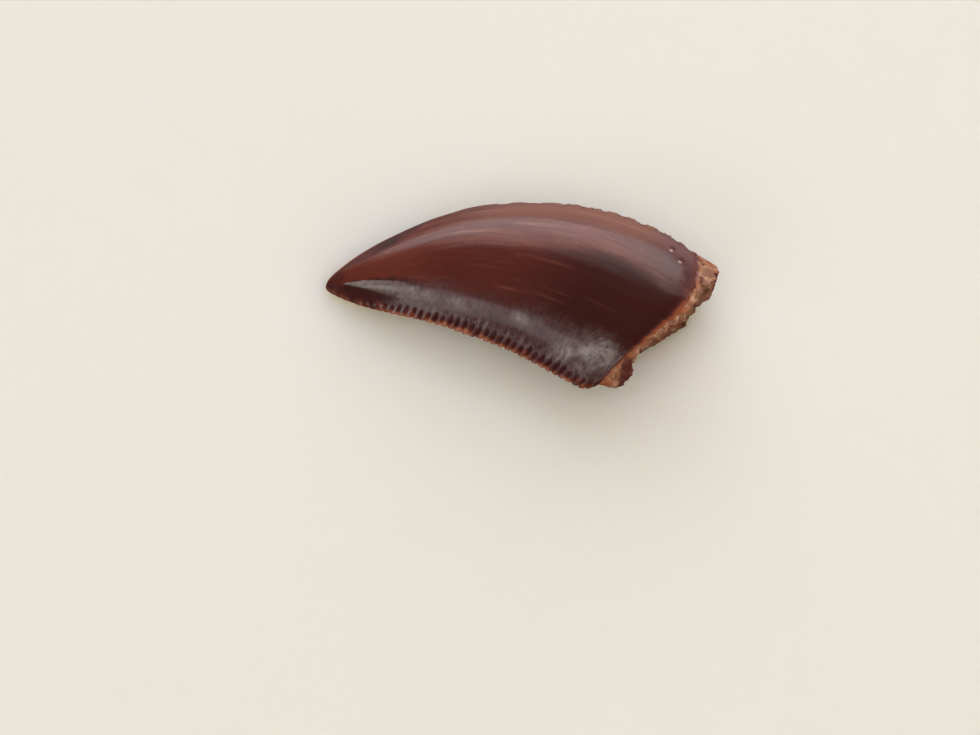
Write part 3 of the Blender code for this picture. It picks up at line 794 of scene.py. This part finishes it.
# The enamel is glossy, most so near the point. Bloom, facets, chips and dentine are rougher.
ENAMEL_ROUGHNESS, POLISH = 0.27, -0.12
POLISH_START, TIP_START = (12.0, 15.5), (18.3, 19.2)
polished = times(in_back, rise(from_root, *POLISH_START))
roughness = scaled(bloom_and_sheen, 0.15, ENAMEL_ROUGHNESS)
roughness = scaled(polished, POLISH, roughness)
roughness = scaled(rise(from_root, *TIP_START), 0.25, roughness)
roughness = scaled(on_facet_wear_and_shade, 0.2, roughness)
roughness = scaled(on_chip, 0.5, roughness)
roughness = scaled(is_dentine, 0.4, roughness)
tree.links.new(roughness, surface.inputs["Roughness"])
surface.inputs["IOR"].default_value = 1.37
relief = scaled(fine_streaks, 0.25, times(grain, 0.22))
relief = times(relief, scaled(is_dentine, 3.2, 1.0))
relief = times(relief, scaled(polished, -0.75, 1.0))
bump = add_node("ShaderNodeBump", {"Height": relief, "Strength": 0.5, "Distance": 0.03 * MM})
tree.links.new(bump.outputs["Normal"], surface.inputs["Normal"])

tooth_mesh.materials.append(material)
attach(tooth, "root")
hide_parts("tooth")


# A plain pale table stands under the tooth. Light sinks a little way into it, so the tooth's
# shadow is soft and warm.
FLOOR_SIZE = 1.2
floor_shape = bmesh.new()
bmesh.ops.create_grid(floor_shape, x_segments=1, y_segments=1, size=FLOOR_SIZE / 2)
floor_mesh = bpy.data.meshes.new("table_top")
floor_shape.to_mesh(floor_mesh)
floor_shape.free()
floor_material = bpy.data.materials.new("pale_table")
floor_material.use_nodes = True
floor_surface = floor_material.node_tree.nodes["Principled BSDF"]
floor_surface.subsurface_method = "BURLEY"
floor_surface.inputs["Base Color"].default_value = (0.805, 0.80, 0.765, 1.0)
floor_surface.inputs["Subsurface Weight"].default_value = 1.0
floor_surface.inputs["Subsurface Radius"].default_value = (1.0, 0.80, 0.35)
floor_surface.inputs["Subsurface Scale"].default_value = 0.008
floor_surface.inputs["Roughness"].default_value = 0.9
floor_mesh.materials.append(floor_material)
floor = bpy.data.objects.new("table_top", floor_mesh)
floor.visible_glossy = False
bpy.context.scene.collection.objects.link(floor)


# Soft studio light: two lights behind the tooth and a narrow one in front make its sheen. Three
# more, which don't show in it, and a dim room fill the shadows.
def soft_light(name, azimuth, elevation, distance_m, wide, tall, radiance, colour, glossy=True):
    """A rectangular light that faces the tooth. Azimuth 0 is on the camera's side of it."""
    turned, raised = math.radians(azimuth), math.radians(elevation)
    place = Vector((math.sin(turned), -math.cos(turned), 0)) * math.cos(raised)
    place = (place + Vector((0, 0, math.sin(raised)))) * distance_m
    lamp = bpy.data.lights.new(name, "AREA")
    lamp.shape = "RECTANGLE"
    lamp.size, lamp.size_y = wide, tall
    lamp.energy = radiance * math.pi * wide * tall
    lamp.color = colour
    holder = bpy.data.objects.new(name, lamp)
    holder.location = place
    holder.rotation_euler = (-place).to_track_quat("-Z", "Y").to_euler()
    holder.visible_glossy = glossy
    bpy.context.scene.collection.objects.link(holder)


soft_light("back_light_low", 180, 17, 0.5, 0.75, 0.30, 3.0, (1.0, 1.0, 1.02))
soft_light("back_light_high", 166, 46, 0.5, 0.75, 0.24, 1.5, (1.0, 1.0, 1.02))
soft_light("front_light", -46, 26, 0.5, 0.36, 0.13, 3.6, (1.0, 0.97, 0.98))
soft_light("key_light", 170, 55, 0.5, 0.35, 0.35, 0.3, (0.97, 1.0, 1.04), glossy=False)
soft_light("side_light", 62, 26, 0.5, 0.6, 0.40, 1.2, (1.0, 0.94, 0.86), glossy=False)
soft_light("fill_light", -20, 74, 0.5, 0.6, 0.6, 1.28, (1.0, 0.90, 0.70), glossy=False)
room = bpy.data.worlds.new("room")
room.use_nodes = True
room.node_tree.nodes["Background"].inputs["Color"].default_value = (1.0, 0.95, 0.9, 1.0)
room.node_tree.nodes["Background"].inputs["Strength"].default_value = 0.07
bpy.context.scene.world = room


# The camera looks down on the table from the tooth's serrated side, 72 degrees up.
CAMERA_ELEVATION = math.radians(72)
CAMERA_DISTANCE = 0.2
CAMERA_AIM = Vector((-1.729, -3.541, 0)) * MM
camera_data = bpy.data.cameras.new("camera")
camera_data.sensor_width = 36
camera_data.lens = 133.7
camera_data.clip_start = 0.01
camera = bpy.data.objects.new("camera", camera_data)
backwards = Vector((0, -math.cos(CAMERA_ELEVATION), math.sin(CAMERA_ELEVATION)))
camera.location = CAMERA_AIM + backwards * CAMERA_DISTANCE
camera.rotation_euler = (math.pi / 2 - CAMERA_ELEVATION, 0, 0)
bpy.context.scene.collection.objects.link(camera)
bpy.context.scene.camera = camera
bpy.context.scene.view_settings.view_transform = "Standard"
